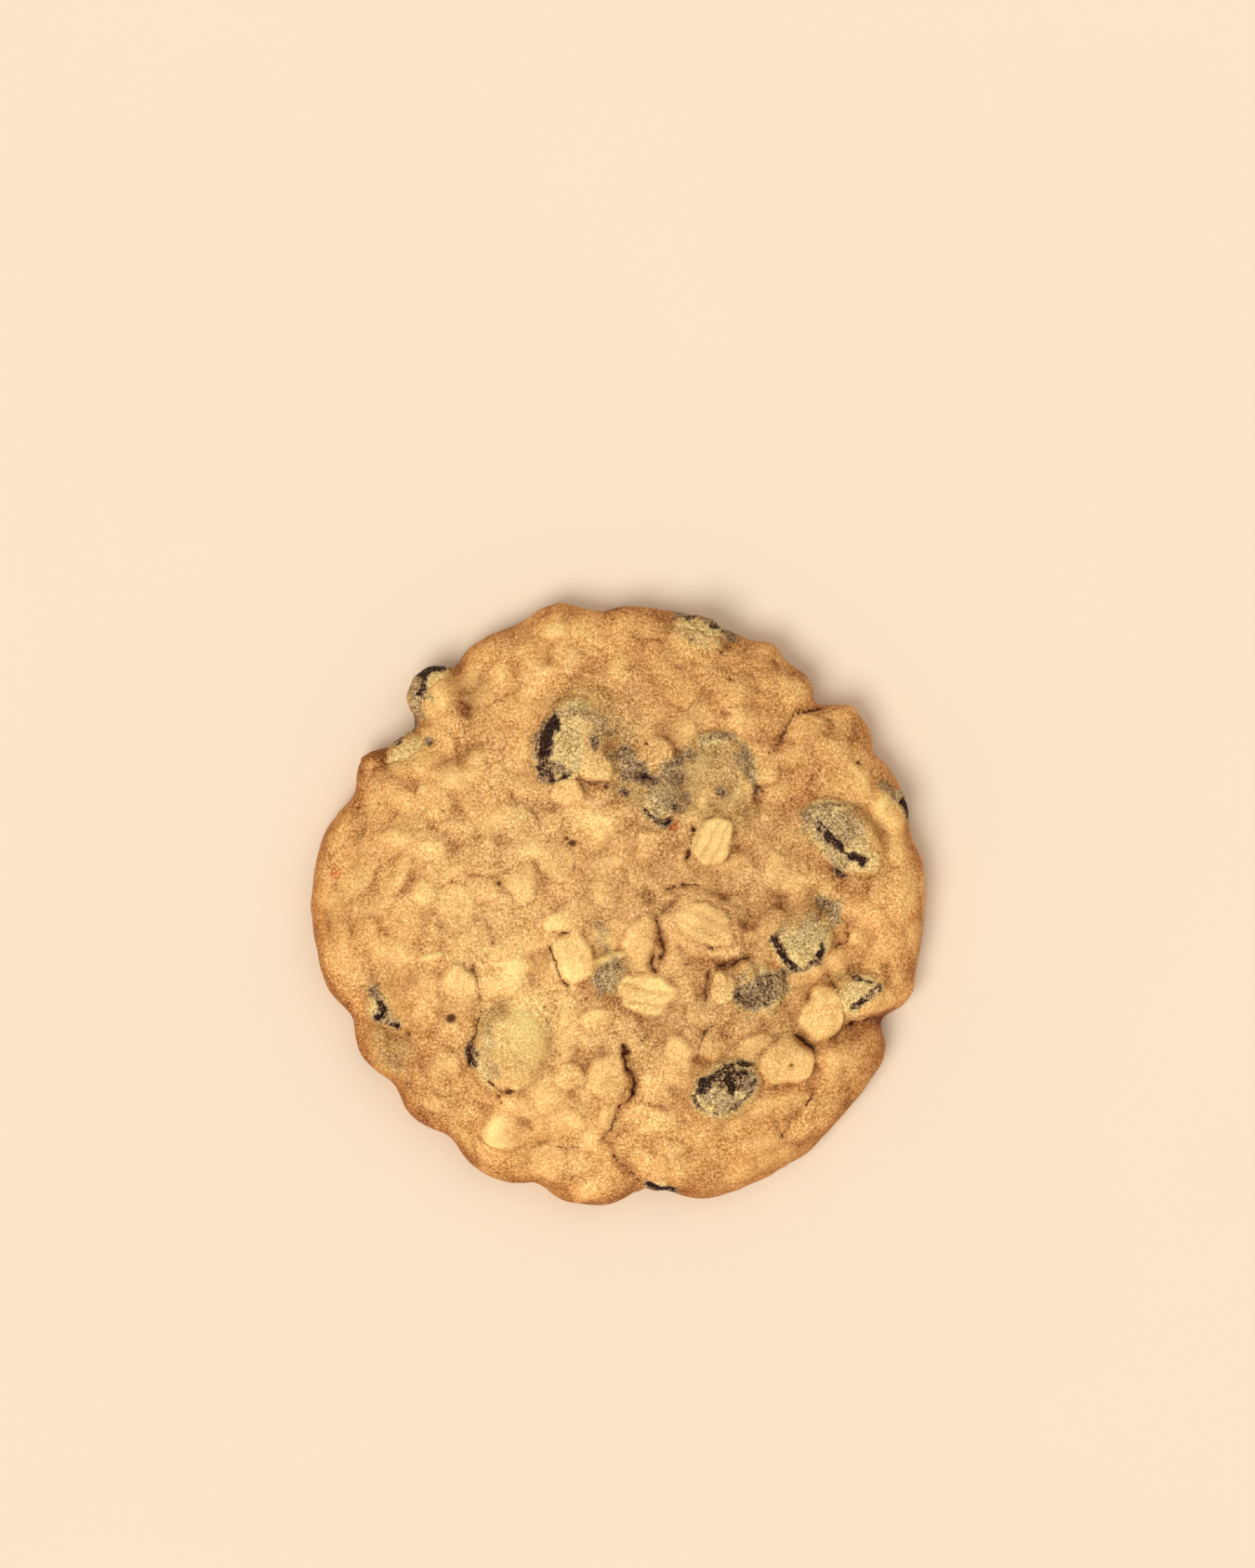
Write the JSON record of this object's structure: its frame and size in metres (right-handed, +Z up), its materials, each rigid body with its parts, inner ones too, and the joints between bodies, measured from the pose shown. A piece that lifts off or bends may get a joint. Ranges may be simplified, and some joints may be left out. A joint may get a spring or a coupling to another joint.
{
  "type": "oatmeal raisin cookie",
  "caption": "Round oatmeal raisin cookie with a lobed edge, a low domed craggy top, a flat foot and raisins set in pockets of the dough.",
  "frame": {"origin": "centre of the flat foot, on the surface that the cookie lies on", "axes": "+Z up through the cookie's thickness, towards its craggy top; +X to the right and +Y away as seen from in front"},
  "size_m": [0.0899, 0.0887, 0.0146],
  "materials": {
    "baked_dough": "dry golden baked crust with oat flakes",
    "raisin_skin": "wrinkled dark skin, partly under a thin film of dough"
  },
  "bodies": {
    "root": {"dough": "baked_dough", "raisin_ear": "raisin_skin", "raisin_wide": "raisin_skin", "raisin_bridge": "raisin_skin", "raisin_slotted": "raisin_skin", "raisin_folded": "raisin_skin", "raisin_sunken": "raisin_skin", "raisin_hooked": "raisin_skin", "raisin_bare": "raisin_skin", "raisin_small": "raisin_skin", "raisin_left": "raisin_skin", "raisin_cloaked": "raisin_skin", "raisin_corner": "raisin_skin", "raisin_shelf": "raisin_skin", "raisin_top_edge": "raisin_skin", "raisin_right_edge": "raisin_skin", "raisin_low_edge": "raisin_skin"}
  },
  "joints": []
}
